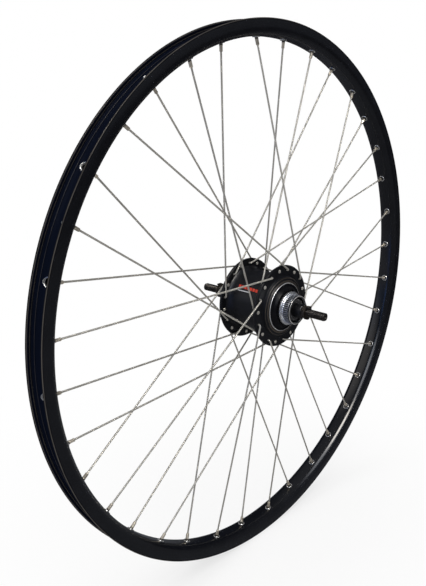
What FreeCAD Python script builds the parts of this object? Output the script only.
import FreeCAD, Part
import Sketcher
import math
import os
import re

# Bicycle rear wheel built on an internally geared hub. The wheel axis lies along Y through
# the origin, +Z is up, the brake side faces -Y and the sprocket side +Y.
# Lengths are millimetres and angles are degrees.

App = FreeCAD
V = App.Vector
X_AXIS, Y_AXIS, Z_AXIS = V(1, 0, 0), V(0, 1, 0), V(0, 0, 1)

# ------------------------------------------------------------------ driving dimensions
# alias, value or formula; a "circle" is the radius of a ring of centres about the wheel axis
CELLS = [
    # rim
    ("rim_outer_radius", 317.0), ("rim_half_width", 13.1), ("bead_seat_radius", 311.0),
    ("bed_radius", 299.0), ("well_radius", 306.0),
    ("hook_inner_y", 11.2), ("flange_side_y", 11.6),
    ("eyelet_hole_radius", 2.85), ("access_hole_radius", 4.8), ("valve_hole_radius", 4.25),
    ("eyelet_bore_radius", 2.35), ("eyelet_lip_radius", 4.1),
    # lacing, spokes and nipples
    ("spoke_count", 36.0), ("nipple_pivot_radius", 300.0), ("stagger", 1.6),
    ("lacing_phase", 74.12), ("hub_windup", 3.2), ("cross_angle", 60.0),
    ("nipple_shank_radius", 1.9), ("nipple_head_radius", 3.0), ("nipple_length", 14.6),
    ("nipple_end_radius", 304.6), ("nipple_bore_radius", 1.02),
    ("spoke_radius", 1.0), ("spoke_head_radius", 2.15), ("spoke_bend_radius", 2.1),
    # hub shell
    ("flange_radius", 48.9), ("flange_hole_circle", 43.3), ("flange_hole_radius", 1.3),
    ("brake_flange_outer", 29.5), ("brake_flange_inner", 26.3),
    ("drive_flange_inner", 22.0), ("drive_flange_outer", 25.2),
    ("shell_radius", 36.4), ("shell_bore", 33.2), ("shell_drive_end", 27.5),
    # splined disc mount
    ("mount_seat_radius", 19.4), ("shoulder_radius", 19.8), ("spline_radius", 17.3),
    ("spline_depth", 0.85), ("spline_width", 1.55), ("spline_count", 44.0),
    ("spline_start", 43.8), ("spline_end", 51.3), ("lockring_bore", 15.2),
    # axle and its nuts
    ("axle_radius", 5.0), ("axle_flat", 4.0), ("axle_brake_end", 91.5),
    ("axle_drive_end", 92.5), ("axle_flat_start", 69.4), ("axle_core_radius", 7.0),
    ("barrel_radius", 8.4), ("locknut_face", 67.5), ("brake_nut_flats", 13.6),
    ("drive_nut_flats", 15.6),
    # ball bearings
    ("race_clear", 0.05), ("pocket_clear", 0.06), ("ball_large", 2.5), ("ball_small", 2.0),
    ("brake_ball_circle", 10.5), ("brake_ball_y", 40.0), ("brake_ball_count", 11.0),
    ("shell_ball_circle", 20.8), ("shell_ball_y", 20.6), ("shell_ball_count", 24.0),
    ("driver_ball_circle", 10.2), ("driver_ball_y", 46.0), ("driver_ball_count", 12.0),
    # gears, clutch and driver
    ("gear_module", 1.0), ("sun_teeth", 22.0), ("planet_teeth", 16.0),
    ("ring_teeth", "=sun_teeth + 2 * planet_teeth"),
    ("planet_circle", "=gear_module * (sun_teeth + planet_teeth) / 2"),
    ("planet_pin_radius", 2.5), ("pin_clear", 0.03), ("backlash", 0.06),
    ("ring_outer_radius", 31.0), ("roller_radius", 2.5), ("clutch_race_bore", 31.5),
    ("roller_circle", "=clutch_race_bore - roller_radius - race_clear"),
    ("roller_count", 9.0), ("driver_radius", 17.2),
]

doc = App.newDocument("GearHubWheel")
sheet = doc.addObject("Spreadsheet::Sheet", "Sizes")
for row, (alias, content) in enumerate(CELLS, 1):
    sheet.set("A%d" % row, alias)
    sheet.set("B%d" % row, str(content))
    sheet.setAlias("B%d" % row, alias)
doc.recompute()
SIZES = {alias: float(sheet.get(alias)) for alias, _ in CELLS}
PARTS = []


# ------------------------------------------------------------------ terms
# A coordinate is a number, or a sum of aliases and numbers such as "axle_radius + 0.5".
def size(alias):
    return SIZES[alias]


def number(term):
    """Value of a coordinate."""
    if not isinstance(term, str):
        return float(term)
    total = 0.0
    for sign, word in re.findall(r"([+-]?)\s*([\w.]+)", term):
        value = SIZES[word] if word in SIZES else float(word)
        total += -value if sign == "-" else value
    return total


def expression(term):
    """The same coordinate as an expression on the sheet."""
    return re.sub(r"([a-z]\w*)", r"Sizes.\1", term)


def negated(term):
    """Opposite of a number or of a single alias."""
    return "-" + term if isinstance(term, str) else -term


# ------------------------------------------------------------------ sketches
def dimension(sketch, kind, *where_and_term):
    """Dimensional constraint, bound to the sheet where its term names an alias."""
    *where, term = where_and_term
    index = sketch.addConstraint(Sketcher.Constraint(kind, *where, number(term)))
    if isinstance(term, str):
        sketch.setExpression("Constraints[%d]" % index, expression(term))


def locate(sketch, geometry, point, x, y):
    dimension(sketch, "DistanceX", -1, 1, geometry, point, x)
    dimension(sketch, "DistanceY", -1, 1, geometry, point, y)


def polygon(sketch, corners):
    places = [V(number(x), number(y), 0) for x, y in corners]
    count = len(places)
    first = sketch.GeometryCount
    for i in range(count):
        sketch.addGeometry(Part.LineSegment(places[i], places[(i + 1) % count]), False)
    sketch.addConstraint([
        Sketcher.Constraint("Coincident", first + i, 2, first + (i + 1) % count, 1)
        for i in range(count)])
    for i, (x, y) in enumerate(corners):
        locate(sketch, first + i, 1, x, y)


def circle(sketch, x, y, radius):
    curve = Part.Circle(V(number(x), number(y), 0), Z_AXIS, number(radius))
    geometry = sketch.addGeometry(curve, False)
    locate(sketch, geometry, 3, x, y)
    dimension(sketch, "Radius", geometry, radius)


def rectangle(x0, x1, y0, y1):
    return [(x0, y0), (x1, y0), (x1, y1), (x0, y1)]


def opposite_rectangles(half_length, near, far):
    """Two rectangles along local x, one on each side of the centre."""
    return [rectangle(-half_length, half_length, side * near, side * far) for side in (1, -1)]


def origin_item(body, role):
    return [item for item in body.Origin.OriginFeatures if item.Role == role][0]


def add_sketch(body, name, shapes=(), role="XY_Plane", offset=App.Placement()):
    """Sketch of shapes: a list is a polygon's corners, a tuple a circle's x, y and radius."""
    sketch = body.newObject("Sketcher::SketchObject", body.Label + "_" + name)
    sketch.AttachmentSupport = [(origin_item(body, role), "")]
    sketch.MapMode = "FlatFace"
    sketch.AttachmentOffset = offset
    for shape in shapes:
        if isinstance(shape, tuple):
            circle(sketch, *shape)
        else:
            polygon(sketch, shape)
    return sketch


# ------------------------------------------------------------------ features
def new_body(label):
    body = doc.addObject("PartDesign::Body", "Body_" + label)
    body.Label = label
    PARTS.append(body)
    return body


def add_feature(body, kind, sketch, **settings):
    feature = body.newObject("PartDesign::" + kind, sketch.Name + "_" + kind.lower())
    feature.Profile = sketch
    for setting, value in settings.items():
        setattr(feature, setting, value)
    body.Tip = feature
    doc.recompute()
    return feature


def polar(body, features, count, name="ring"):
    """Repeat features evenly about the wheel axis."""
    pattern = body.newObject("PartDesign::PolarPattern", body.Label + "_" + name)
    pattern.Originals = features
    pattern.Axis = (origin_item(body, "Y_Axis"), [""])
    pattern.Angle = 360
    pattern.Occurrences = int(count)
    body.Tip = pattern
    doc.recompute()


def spin(body, sketch, kind, axis):
    return add_feature(body, kind, sketch, ReferenceAxis=(sketch, [axis]), Angle=360)


def turn(body, name, shapes, kind="Revolution", offset=App.Placement()):
    """Turn a half section of (radius, position along the axis) about the sketch's y axis.

    Without an offset that axis is the wheel axis.
    """
    return spin(body, add_sketch(body, name, shapes, offset=offset), kind, "V_Axis")


def extrude(body, kind, name, shapes, start, end, count=1, angle=0.0):
    """Pad or pocket along the wheel axis from y = start to y = end; local x, y are X, Z."""
    # the XZ plane's normal is -Y: unless reversed, a pad runs to -Y and a pocket to +Y
    offset = App.Placement(V(0, 0, -start), App.Rotation(Z_AXIS, angle))
    sketch = add_sketch(body, name, shapes, "XZ_Plane", offset)
    feature = add_feature(body, kind, sketch, Length=abs(end - start),
                          Reversed=(end > start) == (kind == "Pad"))
    if count > 1:
        polar(body, [feature], count, name + "_ring")


def facing_out(angle):
    """Rotation that turns local z outwards, at an angle from +X towards +Z."""
    return App.Rotation(Y_AXIS, 90.0 - angle)


def drill_outwards(body, name, angle, start, y, radius, depth, count=1):
    """Round hole pointing away from the wheel axis, beginning at radius start."""
    rotation = facing_out(angle)
    offset = App.Placement(rotation.multVec(V(0, 0, start)), rotation)
    sketch = add_sketch(body, name, [(0.0, y, radius)], offset=offset)
    feature = add_feature(body, "Pocket", sketch, Length=depth, Reversed=True)
    if count > 1:
        polar(body, [feature], count, name + "_ring")


def turned_piece(label, profile, ball_set=None):
    """Piece turned about the wheel axis, with a raceway for a ball set if one is given."""
    body = new_body(label)
    turn(body, "profile", [profile])
    if ball_set:
        cut_raceway(body, ball_set)
    return body


# ------------------------------------------------------------------ rim and eyelets
PHASE = size("lacing_phase")
HOLE_PITCH = 360.0 / size("spoke_count")
HOLES_PER_SIDE = size("spoke_count") / 2
SPOKES_PER_GROUP = size("spoke_count") / 4

# side, angle of its first nipple hole, y of its nipple holes
RIM_SIDES = (("brake", PHASE, "-stagger"), ("drive", PHASE - HOLE_PITCH, "stagger"))

# (radius, y) on the +Y half, from the bed up the outside and back down to the tyre well
RIM_HALF = [
    (299.2, 5.6), (299.9, 7.6), (301.4, 9.8), (303.4, 11.7), (305.6, 12.8),
    (308.0, "rim_half_width"), (316.3, "rim_half_width"), ("rim_outer_radius", 12.5),
    ("rim_outer_radius", 11.9), (316.2, "hook_inner_y"), (314.6, "hook_inner_y"),
    (313.6, "flange_side_y"), (311.9, "flange_side_y"), ("bead_seat_radius", 11.1),
    (310.8, 8.9), (310.3, 8.5), (310.6, 8.25), (310.25, 7.9), (309.6, 7.8), (308.2, 6.5),
    (306.6, 4.9), ("well_radius", 3.0),
]
# (radius, y) on the +Y half of the hollow inside the rim
CAVITY_HALF = [
    (300.7, 5.6), (301.5, 7.3), (302.8, 9.2), (304.4, 10.7), (306.4, 11.6), (309.2, 11.6),
    (309.3, 9.4), (307.2, 7.7), (305.2, 5.7), (304.6, 3.4),
]
BED_DRILL_START = 296.0
WELL_DRILL_START = 303.0
DRILL_DEPTH = 6.5
VALVE_DRILL_DEPTH = 14.0
VALVE_PITCHES = 33.5  # halfway between two nipple holes


def symmetric(inner_radius, half, outer_radius):
    """Closed outline from its +Y half and the radii where it crosses y = 0."""
    mirrored = [(radius, negated(y)) for radius, y in reversed(half)]
    return [(inner_radius, 0.0)] + half + [(outer_radius, 0.0)] + mirrored


def make_rim():
    rim = new_body("rim")
    turn(rim, "profile", [symmetric("bed_radius", RIM_HALF, "well_radius"),
                          symmetric(300.7, CAVITY_HALF, 304.6)])
    for kind, start, radius in (("nipple", BED_DRILL_START, "eyelet_hole_radius"),
                                ("access", WELL_DRILL_START, "access_hole_radius")):
        for side, angle, y in RIM_SIDES:
            drill_outwards(rim, "%s_%s_holes" % (side, kind), angle, start, y, radius,
                           DRILL_DEPTH, HOLES_PER_SIDE)
    drill_outwards(rim, "valve_hole", PHASE - VALVE_PITCHES * HOLE_PITCH, BED_DRILL_START,
                   0.0, "valve_hole_radius", VALVE_DRILL_DEPTH)


def make_eyelets():
    eyelets = new_body("eyelets")
    bore = size("eyelet_bore_radius")
    lip = size("eyelet_lip_radius")
    barrel = size("eyelet_hole_radius") - 0.02
    collar = 3.5
    # (radius about the hole's axis, distance from the wheel axis)
    profile = [
        (bore, 299.05), (bore + 0.15, 298.8), (lip - 0.95, 298.3), (lip - 0.7, 298.12),
        (lip - 0.3, 298.12), (lip, 298.45), (lip, 298.93), (barrel, 298.93),
        (barrel, 300.76), (collar, 300.76), (collar, 301.2), (bore + 0.4, 301.35),
        (bore, 301.1),
    ]
    for side, angle, y in RIM_SIDES:
        # local x runs round the rim and local y outwards
        rotation = facing_out(angle) * App.Rotation(X_AXIS, 90)
        offset = App.Placement(V(0, number(y), 0), rotation)
        eyelet = turn(eyelets, side, [profile], offset=offset)
        polar(eyelets, [eyelet], HOLES_PER_SIDE, side + "_ring")


# ------------------------------------------------------------------ spokes and nipples
# label, flange side along Y, lead of the hub hole over the rim hole (+1 ahead, -1 behind),
# rim hole taken by the first spoke, whether the head is on the flange's outer face
SPOKE_GROUPS = [
    ("brake_inbound_spokes", -1, 1, 0, True),
    ("brake_outbound_spokes", -1, -1, 2, False),
    ("drive_inbound_spokes", 1, 1, 1, True),
    ("drive_outbound_spokes", 1, -1, 3, False),
]
WIRE_INTO_HEAD = 0.9   # start of the wire, out from the flange face under the head
BEND_GAP = 0.1         # from the flange face to the start of the bend
HEAD_SINK = 0.02       # gap of the head off the flange face
WIRE_INTO_NIPPLE = 2.4  # end of the wire, past the nipple's pivot
BEND_PASSES = 30
# (share of the head radius, height above the head's seat)
HEAD_PROFILE = [(0.0, 1.0), (0.55, 0.95), (0.88, 0.7), (1.0, 0.35), (0.96, 0.0), (0.0, 0.0)]


def spoke_frame(lead, rim_hole):
    """Frame at the hub hole with x towards the rim hole and y along Y, and the reach in x."""
    rim_angle = math.radians(PHASE - HOLE_PITCH * rim_hole)
    hub_angle = rim_angle + math.radians(size("hub_windup") + lead * size("cross_angle"))
    hub_radius = size("flange_hole_circle")
    rim_radius = size("nipple_pivot_radius")
    hub_point = V(hub_radius * math.cos(hub_angle), 0, hub_radius * math.sin(hub_angle))
    rim_point = V(rim_radius * math.cos(rim_angle), 0, rim_radius * math.sin(rim_angle))
    along = rim_point.sub(hub_point)
    reach = along.Length
    along.normalize()
    rotation = App.Rotation(along, Y_AXIS, along.cross(Y_AXIS), "XYZ")
    return App.Placement(hub_point, rotation), reach


def fit_bend(bend_y, heading, reach, pivot_y):
    """Middle and end points of the bend, and slope of the straight aimed at the pivot."""
    radius = size("spoke_bend_radius")

    def on_bend(angle):
        return V(radius + radius * math.cos(angle), bend_y + radius * math.sin(angle), 0)

    slope = 0.0
    for _ in range(BEND_PASSES):
        angle = (math.pi / 2 if heading > 0 else 1.5 * math.pi) + slope
        end = on_bend(angle)
        slope = math.atan2(pivot_y - end.y, reach - end.x)
    return on_bend((math.pi + angle) / 2), end, slope


def make_spokes(label, side, lead, rim_hole, head_outside):
    """One group of spokes; returns the frame of its first nipple, y outwards along the spoke."""
    frame, reach = spoke_frame(lead, rim_hole)
    pivot_y = side * size("stagger")
    flange = "brake_flange_" if side < 0 else "drive_flange_"
    head_y = side * size(flange + ("outer" if head_outside else "inner"))
    exit_y = side * size(flange + ("inner" if head_outside else "outer"))
    heading = 1.0 if exit_y > head_y else -1.0
    start = V(0, head_y - heading * WIRE_INTO_HEAD, 0)
    bend_start = V(0, exit_y + heading * BEND_GAP, 0)
    bend_middle, bend_end, slope = fit_bend(bend_start.y, heading, reach, pivot_y)
    wire_end = V(reach + WIRE_INTO_NIPPLE * math.cos(slope),
                 pivot_y + WIRE_INTO_NIPPLE * math.sin(slope), 0)

    body = new_body(label)
    path = add_sketch(body, "path", offset=frame)
    path.addGeometry(Part.LineSegment(start, bend_start), False)
    path.addGeometry(Part.Arc(bend_start, bend_middle, bend_end), False)
    path.addGeometry(Part.LineSegment(bend_end, wire_end), False)
    section = add_sketch(body, "wire", [(0.0, 0.0, "spoke_radius")],
                         offset=frame * App.Placement(start, App.Rotation(X_AXIS, 90)))
    wire = add_feature(body, "AdditivePipe", section, Spine=path)

    seat_y = head_y - heading * HEAD_SINK
    head_radius = size("spoke_head_radius")
    outline = [(head_radius * share, seat_y - heading * height)
               for share, height in HEAD_PROFILE]
    head = turn(body, "head", [outline], offset=frame)
    polar(body, [wire, head], SPOKES_PER_GROUP, "set")
    tilt = App.Rotation(Z_AXIS, math.degrees(slope) - 90.0)
    return label, frame * App.Placement(V(reach, pivot_y, 0), tilt)


def make_nipples(frames):
    nipples = new_body("spoke_nipples")
    top = size("nipple_end_radius") - size("nipple_pivot_radius")
    low = top - size("nipple_length")
    shank = size("nipple_shank_radius")
    head = size("nipple_head_radius")
    bore = size("nipple_bore_radius")
    # (radius, distance outwards from the pivot)
    profile = [
        (bore, low), (shank - 0.35, low), (shank - 0.1, low + 0.3), (shank, low + 3.0),
        (shank, 1.75), (head - 0.5, 2.0), (head, 2.5), (head, top - 0.5), (head - 0.5, top),
        (bore, top),
    ]
    for label, frame in frames:
        nipple = turn(nipples, label, [profile], offset=frame)
        polar(nipples, [nipple], SPOKES_PER_GROUP, label + "_set")


# ------------------------------------------------------------------ bearings
# ball circle, y, ball radius, ball count
BRAKE_BALLS = ("brake_ball_circle", "-brake_ball_y", "ball_large", "brake_ball_count")
SHELL_BALLS = ("shell_ball_circle", "shell_ball_y", "ball_small", "shell_ball_count")
DRIVER_BALLS = ("driver_ball_circle", "driver_ball_y", "ball_small", "driver_ball_count")


def cut_raceway(body, ball_set):
    """Round-bottomed ring groove about the wheel axis, a little larger than the balls."""
    ball_circle, y, ball, _ = ball_set
    turn(body, "raceway", [(ball_circle, y, ball + " + race_clear")], "Groove")


def ball_ring(body, kind, ball_set, clearance=""):
    """Ring of spheres, added or cut, each a half disc spun about its own diameter."""
    ball_circle, y, ball, count = ball_set
    centre = V(number(ball_circle), number(y), 0)
    radius = number(ball + clearance)
    top = centre + V(0, radius, 0)
    bottom = centre - V(0, radius, 0)
    sketch = add_sketch(body, "half_disc")
    disc = Part.Circle(centre, Z_AXIS, radius)
    arc = sketch.addGeometry(Part.ArcOfCircle(disc, -math.pi / 2, math.pi / 2), False)
    chord = sketch.addGeometry(Part.LineSegment(top, bottom), False)
    sketch.addConstraint(Sketcher.Constraint("Coincident", arc, 2, chord, 1))
    sketch.addConstraint(Sketcher.Constraint("Coincident", arc, 1, chord, 2))
    sketch.addConstraint(Sketcher.Constraint("Vertical", chord))
    sketch.addConstraint(Sketcher.Constraint("PointOnObject", arc, 3, chord))
    locate(sketch, arc, 3, ball_circle, y)
    dimension(sketch, "Radius", arc, ball + clearance)
    axis = sketch.addGeometry(Part.LineSegment(top, bottom), True)
    for end in (1, 2):
        sketch.addConstraint(Sketcher.Constraint("Coincident", axis, end, chord, end))
    polar(body, [spin(body, sketch, kind, "Axis0")], size(count), "set")


def make_balls_and_retainer(prefix, ball_set, retainer_section):
    ball_ring(new_body(prefix + "balls"), "Revolution", ball_set)
    retainer = turned_piece(prefix + "ball_retainer", retainer_section)
    ball_ring(retainer, "Groove", ball_set, " + pocket_clear")


# ------------------------------------------------------------------ hub shell and brake end
# (radius, y), from the bore at the brake end round the outside to the drive end
SHELL_PROFILE = [
    ("mount_seat_radius", -27.5), ("mount_seat_radius", -33.6), (29.0, -33.6),
    (29.0, -34.0), (29.5, -34.0), (29.65, -33.75), (29.9, -33.75), (30.05, -34.0),
    (30.35, -34.0), (30.5, -33.75), (30.75, -33.75), (30.9, -34.0), (31.3, -34.0),
    (31.9, -33.2), (34.2, -33.2), (35.2, -32.2), (35.2, -30.3),
    (36.0, "-brake_flange_outer"), (48.3, "-brake_flange_outer"), ("flange_radius", -29.0),
    ("flange_radius", -26.9), (48.3, "-brake_flange_inner"), (38.6, "-brake_flange_inner"),
    (37.2, -25.7), ("shell_radius", -24.2), ("shell_radius", 12.0), (36.7, 15.0),
    (37.7, 18.2), (39.2, 20.6), (41.0, "drive_flange_inner"), (48.3, "drive_flange_inner"),
    ("flange_radius", 22.6), ("flange_radius", 24.6), (48.3, "drive_flange_outer"),
    (37.4, "drive_flange_outer"), (36.2, 26.4), (36.2, "shell_drive_end"),
    ("shell_bore", "shell_drive_end"), ("shell_bore", -27.5),
]
MOUNT_PROFILE = [
    (12.0, -27.5), (12.0, -33.0), (9.4, -33.0), (9.4, -36.5), (14.5, -36.5), (14.5, -45.0),
    ("lockring_bore", -45.0), ("lockring_bore", -52.6), (15.9, -52.6),
    (15.9, "-spline_end"), (16.9, "-spline_end"), ("spline_radius", -50.9),
    ("spline_radius", "-spline_start"), (18.9, "-spline_start"), ("shoulder_radius", -42.9),
    ("shoulder_radius", -39.65), ("mount_seat_radius", -39.65),
    ("mount_seat_radius", -27.5),
]


def make_hub_shell():
    shell = new_body("hub_shell")
    turn(shell, "profile", [SHELL_PROFILE])
    radius = size("flange_hole_circle")
    first_angle = PHASE + size("hub_windup")
    for side, angle, start, end in (("brake", first_angle, -24.0, -32.0),
                                    ("drive", first_angle - HOLE_PITCH, 20.0, 28.0)):
        hole = (radius * math.cos(math.radians(angle)), radius * math.sin(math.radians(angle)),
                "flange_hole_radius")
        extrude(shell, "Pocket", side + "_spoke_holes", [hole], start, end, HOLES_PER_SIDE)


def make_disc_mount():
    mount = turned_piece("splined_disc_mount", MOUNT_PROFILE)
    crest = size("spline_radius")
    root = crest - size("spline_depth")
    half_width = size("spline_width") / 2
    half_root = half_width * 0.45
    gap = [(root, -half_root), (root, half_root), (crest + 0.3, half_width),
           (crest + 0.3, -half_width)]
    extrude(mount, "Pocket", "splines", [gap], -size("spline_end") - 0.2,
            -size("spline_start") - 0.6, size("spline_count"))


def make_brake_end():
    """Rings, cap, disc mount and bearing cup at the brake end of the shell."""
    turned_piece("brake_side_trim_ring", [
        (27.2, -33.6), (28.98, -33.6), (28.98, -34.7), (28.5, -35.2), (27.7, -35.2),
        (27.2, -34.8)])
    cap_bore = "mount_seat_radius + 0.02"
    turned_piece("brake_side_end_cap", [
        (cap_bore, -33.6), (27.15, -33.6), (27.15, -34.2), (25.6, -34.8), (23.8, -36.4),
        (22.4, -38.4), (22.0, -38.9), (21.5, -38.9), (21.5, -38.2), (20.9, -38.2),
        (20.9, -39.6), (cap_bore, -39.6)])
    make_disc_mount()
    nose_back = "-spline_end - 0.02"
    turned_piece("brake_side_nose_ring", [
        (15.92, nose_back), (16.2, nose_back), (16.2, -52.2), (16.7, -52.3), (16.9, -52.5),
        (16.9, -53.0), (16.6, -53.3), (15.6, -53.3), (15.3, -53.0), (15.3, -52.65),
        (15.92, -52.65)])
    turned_piece("brake_side_bearing_cup", [
        (14.5, -41.0), (14.5, -36.5), (9.7, -36.5), (9.7, -39.0), (13.3, -41.0)],
        BRAKE_BALLS)


def make_shell_inserts():
    """Ball cup and clutch race seated in the shell's bore."""
    turned_piece("drive_side_ball_cup", [
        ("shell_bore", 16.6), (20.0, 16.6), (20.0, 19.0), (23.8, 20.9), (23.8, 25.5),
        ("shell_bore", 25.5)], SHELL_BALLS)
    turned_piece("clutch_outer_race",
                 rectangle("clutch_race_bore", "shell_bore", -25.6, -15.4))


# ------------------------------------------------------------------ axle and fixed parts
NUT_INNER = 62.0
NUT_OUTER = 66.0


def make_axle():
    axle = turned_piece("axle", [
        (0.0, "-axle_brake_end"), (4.3, "-axle_brake_end"), ("axle_radius", -90.8),
        ("axle_radius", -38.4), ("axle_core_radius", -38.4), ("axle_core_radius", 36.0),
        ("axle_radius", 36.0), ("axle_radius", 91.8), (4.3, "axle_drive_end"),
        (0.0, "axle_drive_end")])
    for name, side in (("brake", -1), ("drive", 1)):
        end = side * size("axle_%s_end" % name)
        extrude(axle, "Pocket", name + "_flats",
                opposite_rectangles(6.0, size("axle_flat"), 6.0),
                side * size("axle_flat_start"), end + side * 1.0)
        # centre drilling: (radius, depth below the end face)
        drilling = [(0.0, -0.1), (2.2, -0.1), (1.3, 0.9), (1.3, 3.2), (0.0, 3.9)]
        turn(axle, name + "_centre",
             [[(radius, end - side * depth) for radius, depth in drilling]], "Groove")


def make_cones_and_seals():
    brake_cone = turned_piece("brake_side_cone", [
        ("axle_radius", -62.0), (7.9, -62.0), ("barrel_radius", -61.5),
        ("barrel_radius", -46.5), (10.6, -44.9), (10.6, -41.5), (8.0, -38.5),
        ("axle_radius", -38.5)], BRAKE_BALLS)
    extrude(brake_cone, "Pocket", "wrench_flats", opposite_rectangles(12.0, 7.5, 12.0),
            -59.0, -62.4)
    turned_piece("brake_side_seal", [
        ("barrel_radius", -49.8), (9.5, -49.8), (10.3, -50.5), (11.8, -51.2), (12.4, -51.0),
        (12.7, -50.5), (12.7, -48.2), (12.2, -47.6), ("barrel_radius", -47.6)])
    turned_piece("drive_side_cone", [
        ("axle_radius", 42.5), (7.9, 42.5), (10.4, 47.6), (10.4, 50.5),
        ("barrel_radius", 51.9), ("barrel_radius", 57.0), ("axle_radius", 57.0)],
        DRIVER_BALLS)
    turned_piece("drive_side_dust_cap", [
        ("barrel_radius", 52.2), (15.2, 52.2), (15.6, 52.5), (15.6, 53.0), (10.5, 53.4),
        (10.2, 54.6), ("barrel_radius", 54.6)])


def make_lock_nut(label, low_y, high_y, flats_across):
    """Hexagon nut with the corners of both faces turned to a cone."""
    nut = new_body(label)
    corner = flats_across / math.sqrt(3.0)
    angles = [math.radians(60 * i + 30) for i in range(6)]
    hexagon = [(corner * math.cos(angle), corner * math.sin(angle)) for angle in angles]
    extrude(nut, "Pad", "blank", [hexagon, (0.0, 0.0, "axle_radius")], low_y, high_y)
    inner = flats_across / 2 - 0.3
    outer = corner + 1
    depth = (outer - inner) * 0.5
    bevels = [[(inner, face - inward * 0.01), (outer, face - inward * 0.01),
               (outer, face + inward * depth)] for face, inward in ((low_y, 1), (high_y, -1))]
    turn(nut, "bevel", bevels, "Groove")


def make_tab_washer(label, side, radius):
    """Round washer with a wide tab towards +Z and a narrow one towards -Z, both outwards."""
    washer = new_body(label)
    face = side * size("locknut_face")
    root = 0.2  # depth of the tabs inside the plate
    extrude(washer, "Pad", "plate", [(0.0, 0.0, radius), (0.0, 0.0, "axle_radius")],
            side * NUT_OUTER, face)
    for name, upward, half_width, reach in (("wide_tab", 1, 3.0, 3.0),
                                            ("narrow_tab", -1, 1.6, 1.4)):
        tab = rectangle(-half_width, half_width, upward * (radius - 1.9),
                        upward * (radius - 0.35))
        extrude(washer, "Pad", name, [tab], face - side * root, face + side * reach)


def make_shift_sleeve():
    bore = "axle_radius + race_clear"
    sleeve = turned_piece("shift_sleeve", [
        (bore, 57.1), (7.6, 57.1), (8.0, 57.5), (8.0, 61.5), (7.6, 61.9), (bore, 61.9)])
    lug = [(7.3, -1.6), (9.8, -1.3), (9.8, 1.3), (7.3, 1.6)]
    extrude(sleeve, "Pad", "lug", [lug], 58.3, 60.9, 2)


# ------------------------------------------------------------------ driver
def make_driver():
    driver = turned_piece("driver", [
        (9.4, 10.4), (16.0, 10.4), (16.0, 13.4), (18.2, 13.4), (18.2, 20.2), (21.6, 22.6),
        (21.6, 26.6), (19.0, 28.2), (19.0, 33.6), (20.2, 33.6), (20.2, 36.0),
        ("driver_radius", 36.0), ("driver_radius", 43.4), (16.2, 43.4), (16.2, 44.8),
        ("driver_radius", 44.8), ("driver_radius", 50.6), (16.5, 51.3), (13.4, 51.3),
        (13.4, 46.4), (9.4, 44.4)], SHELL_BALLS)
    cut_raceway(driver, DRIVER_BALLS)
    extrude(driver, "Pocket", "sprocket_notches", [rectangle(15.7, 18.5, -2.6, 2.6)],
            52.0, 37.4, 3)


def make_driver_cover():
    turned_piece("driver_dust_cover", [
        (19.0, 28.4), (24.5, 28.4), (31.5, 28.0), (33.0, 28.2), (33.0, 28.9), (31.5, 28.8),
        (24.5, 29.4), (21.0, 29.6), (20.2, 31.0), (19.0, 31.0)])


# ------------------------------------------------------------------ carrier and clutch
PLANETS = 4
PIN_START = -16.0
PLATE_START, PLATE_END = 6.8, 9.7
ROLLER_ANGLE = 11.0
ROLLER_SPACE_END = -16.2
PIN_ROUND = ("planet_circle", 0.0, "planet_pin_radius")
ROLLER_ROUND = ("roller_circle", 0.0, "roller_radius")
ROLLER_SPACE = ("roller_circle", 0.0, "roller_radius + pocket_clear")


def make_carrier():
    bore = "axle_core_radius + race_clear"
    carrier = turned_piece("planet_carrier", [
        (bore, -24.5), (28.0, -24.5), (28.0, -14.8), (30.0, -14.8), (30.0, -10.5),
        (bore, -10.5)])
    # pillars between the planets, overlapping the drum and the plate by 0.1 mm
    across = (size("planet_circle") + 1.0) * math.cos(math.radians(45))
    extrude(carrier, "Pad", "pillar", [(across, across, 3.6)], -10.6, PLATE_START + 0.1,
            PLANETS)
    turn(carrier, "plate", [rectangle(bore, 25.0, PLATE_START, PLATE_END)])
    extrude(carrier, "Pocket", "pin_holes", [PIN_ROUND], PIN_START, 11.0, PLANETS)
    extrude(carrier, "Pocket", "roller_pockets", [ROLLER_SPACE], -24.6, ROLLER_SPACE_END,
            size("roller_count"), ROLLER_ANGLE)


def make_pins():
    extrude(new_body("planet_pins"), "Pad", "round", [PIN_ROUND], PIN_START, PLATE_END,
            PLANETS)


def make_rollers():
    extrude(new_body("clutch_rollers"), "Pad", "round", [ROLLER_ROUND], -24.3, -16.3,
            size("roller_count"), ROLLER_ANGLE)


def make_roller_cage():
    cage = turned_piece("clutch_roller_cage", rectangle(28.06, 31.2, -25.4, -15.3))
    extrude(cage, "Pocket", "windows", [ROLLER_SPACE], -24.4, ROLLER_SPACE_END,
            size("roller_count"), ROLLER_ANGLE)


# ------------------------------------------------------------------ gears
MODULE = size("gear_module")
SUN_TEETH = int(size("sun_teeth"))
PLANET_TEETH = int(size("planet_teeth"))
RING_TEETH = int(size("ring_teeth"))
PRESSURE_ANGLE = 20.0
FLANK_STEPS = 7
GEAR_START, GEAR_WIDTH = -7.0, 13.0
RING_START, RING_BAND_WIDTH = -7.9, 18.3
WEB_BORE, WEB_WIDTH = 16.0, 2.9


def involute(base_radius, radius):
    """Polar angle of the involute at a radius, zero inside the base circle."""
    if radius <= base_radius:
        return 0.0
    roll = math.sqrt((radius / base_radius) ** 2 - 1.0)
    return roll - math.atan(roll)


def polar_point(radius, angle):
    return V(radius * math.cos(angle), 0, radius * math.sin(angle))


def spline_edge(points):
    curve = Part.BSplineCurve()
    curve.interpolate(points)
    return curve.toShape()


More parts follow.
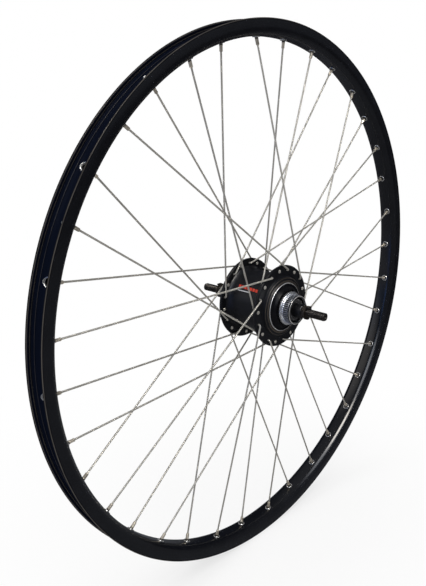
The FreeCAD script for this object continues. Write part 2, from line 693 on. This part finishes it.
def gear_wire(teeth, tip_radius, root_radius, half_at_pitch, offset):
    """Closed outline in the plane y = 0 with one raised part centred on the angle offset.

    half_at_pitch is the half angle of a raised part at the pitch radius. Angles are radians.
    """
    pitch_radius = MODULE * teeth / 2.0
    base_radius = pitch_radius * math.cos(math.radians(PRESSURE_ANGLE))
    pitch_angle = involute(base_radius, pitch_radius)

    def half(radius):
        return half_at_pitch + pitch_angle - involute(base_radius, radius)

    flank_start = max(base_radius, root_radius)
    radii = [flank_start + (tip_radius - flank_start) * i / FLANK_STEPS
             for i in range(FLANK_STEPS + 1)]
    root_half = half(flank_start)
    root_below_flank = root_radius < flank_start - 1e-6
    step = 2 * math.pi / teeth
    edges = []
    for k in range(teeth):
        centre = offset + k * step
        rising = [polar_point(radius, centre - half(radius)) for radius in radii]
        falling = [polar_point(radius, centre + half(radius)) for radius in reversed(radii)]
        root_before = polar_point(root_radius, centre - root_half)
        root_after = polar_point(root_radius, centre + root_half)
        if root_below_flank:
            edges.append(Part.makeLine(root_before, rising[0]))
        edges.append(spline_edge(rising))
        tip_middle = polar_point(tip_radius, centre)
        edges.append(Part.Arc(rising[-1], tip_middle, falling[0]).toShape())
        edges.append(spline_edge(falling))
        if root_below_flank:
            edges.append(Part.makeLine(falling[-1], root_after))
        root_middle = polar_point(root_radius, centre + step / 2)
        next_root = polar_point(root_radius, centre + step - root_half)
        edges.append(Part.Arc(root_after, root_middle, next_root).toShape())
    return Part.Wire(edges)


def round_wire(radius, y=0.0):
    return Part.Wire(Part.makeCircle(radius, V(0, y, 0), Y_AXIS))


def extrude_wires(outer, inner, width):
    """Solid between two wires, running from their plane towards +Y."""
    solid = Part.makeFace([outer, inner], "Part::FaceMakerBullseye").extrude(V(0, width, 0))
    # a face whose normal points to -Y gives a solid turned inside out
    if solid.Volume < 0:
        solid.reverse()
    return solid


def add_solid(label, shape, position):
    solid = doc.addObject("Part::Feature", "Solid_" + label)
    solid.Label = label
    solid.Shape = shape
    solid.Placement = App.Placement(position, App.Rotation())
    PARTS.append(solid)


def external_gear(teeth, offset, bore_radius):
    pitch_radius = MODULE * teeth / 2.0
    half_tooth = math.pi / (2 * teeth) - size("backlash") / (MODULE * teeth)
    wire = gear_wire(teeth, pitch_radius + MODULE, pitch_radius - 1.25 * MODULE,
                     half_tooth, offset)
    return extrude_wires(wire, round_wire(bore_radius), GEAR_WIDTH)


def make_sun():
    add_solid("sun_gear", external_gear(SUN_TEETH, 0.0, size("axle_core_radius")),
              V(0, GEAR_START, 0))


def make_planets():
    bore = size("planet_pin_radius") + size("pin_clear")
    for i in range(PLANETS):
        place = i * 2 * math.pi / PLANETS
        # this tooth phase meshes with both the sun and the ring
        phase = (PLANET_TEETH * (place + math.pi) + SUN_TEETH * place - math.pi) / PLANET_TEETH
        position = polar_point(size("planet_circle"), place) + V(0, GEAR_START, 0)
        add_solid("planet_gear_%d" % (i + 1), external_gear(PLANET_TEETH, phase, bore), position)


def make_ring_gear():
    # the raised parts of this inner outline are the tooth spaces
    pitch_radius = MODULE * RING_TEETH / 2.0
    half_space = math.pi / (2 * RING_TEETH) + size("backlash") / (MODULE * RING_TEETH)
    inner = gear_wire(RING_TEETH, pitch_radius + 1.25 * MODULE, pitch_radius - 0.75 * MODULE,
                      half_space, math.pi / RING_TEETH)
    outer_radius = size("ring_outer_radius")
    band = extrude_wires(round_wire(outer_radius), inner, RING_BAND_WIDTH)
    web = extrude_wires(round_wire(outer_radius, RING_BAND_WIDTH),
                        round_wire(WEB_BORE, RING_BAND_WIDTH), WEB_WIDTH)
    add_solid("ring_gear", band.fuse(web), V(0, RING_START, 0))


# ------------------------------------------------------------------ build
make_rim()
make_eyelets()
make_nipples([make_spokes(*group) for group in SPOKE_GROUPS])
make_hub_shell()
make_brake_end()
make_shell_inserts()
make_axle()
make_cones_and_seals()
make_lock_nut("brake_side_lock_nut", -NUT_OUTER, -NUT_INNER, size("brake_nut_flats"))
make_lock_nut("drive_side_lock_nut", NUT_INNER, NUT_OUTER, size("drive_nut_flats"))
make_tab_washer("brake_side_tab_washer", -1, 8.0)
make_tab_washer("drive_side_tab_washer", 1, 8.9)
make_shift_sleeve()
make_driver()
make_driver_cover()
make_balls_and_retainer("brake_side_", BRAKE_BALLS, rectangle(11.3, 13.0, -41.3, -43.2))
make_balls_and_retainer("drive_side_", SHELL_BALLS, rectangle(21.95, 23.3, 21.6, 23.4))
make_balls_and_retainer("driver_", DRIVER_BALLS, rectangle(11.2, 12.9, 46.9, 48.8))
make_carrier()
make_pins()
make_rollers()
make_roller_cage()
make_sun()
make_planets()
make_ring_gear()

# ------------------------------------------------------------------ check and write
doc.recompute()
faults = []
for item in doc.Objects:
    if any(word in ("Invalid", "Error") for word in item.State):
        faults.append("%s %s" % (item.Label, item.State))
for part in PARTS:
    if part.Shape.isNull() or not part.Shape.isValid() or not part.Shape.Solids:
        faults.append("%s shape is empty or not valid" % part.Label)
if faults:
    raise RuntimeError("; ".join(faults))
os.makedirs("parts", exist_ok=True)
for part in PARTS:
    part.Shape.exportStep("parts/%s.step" % part.Label)
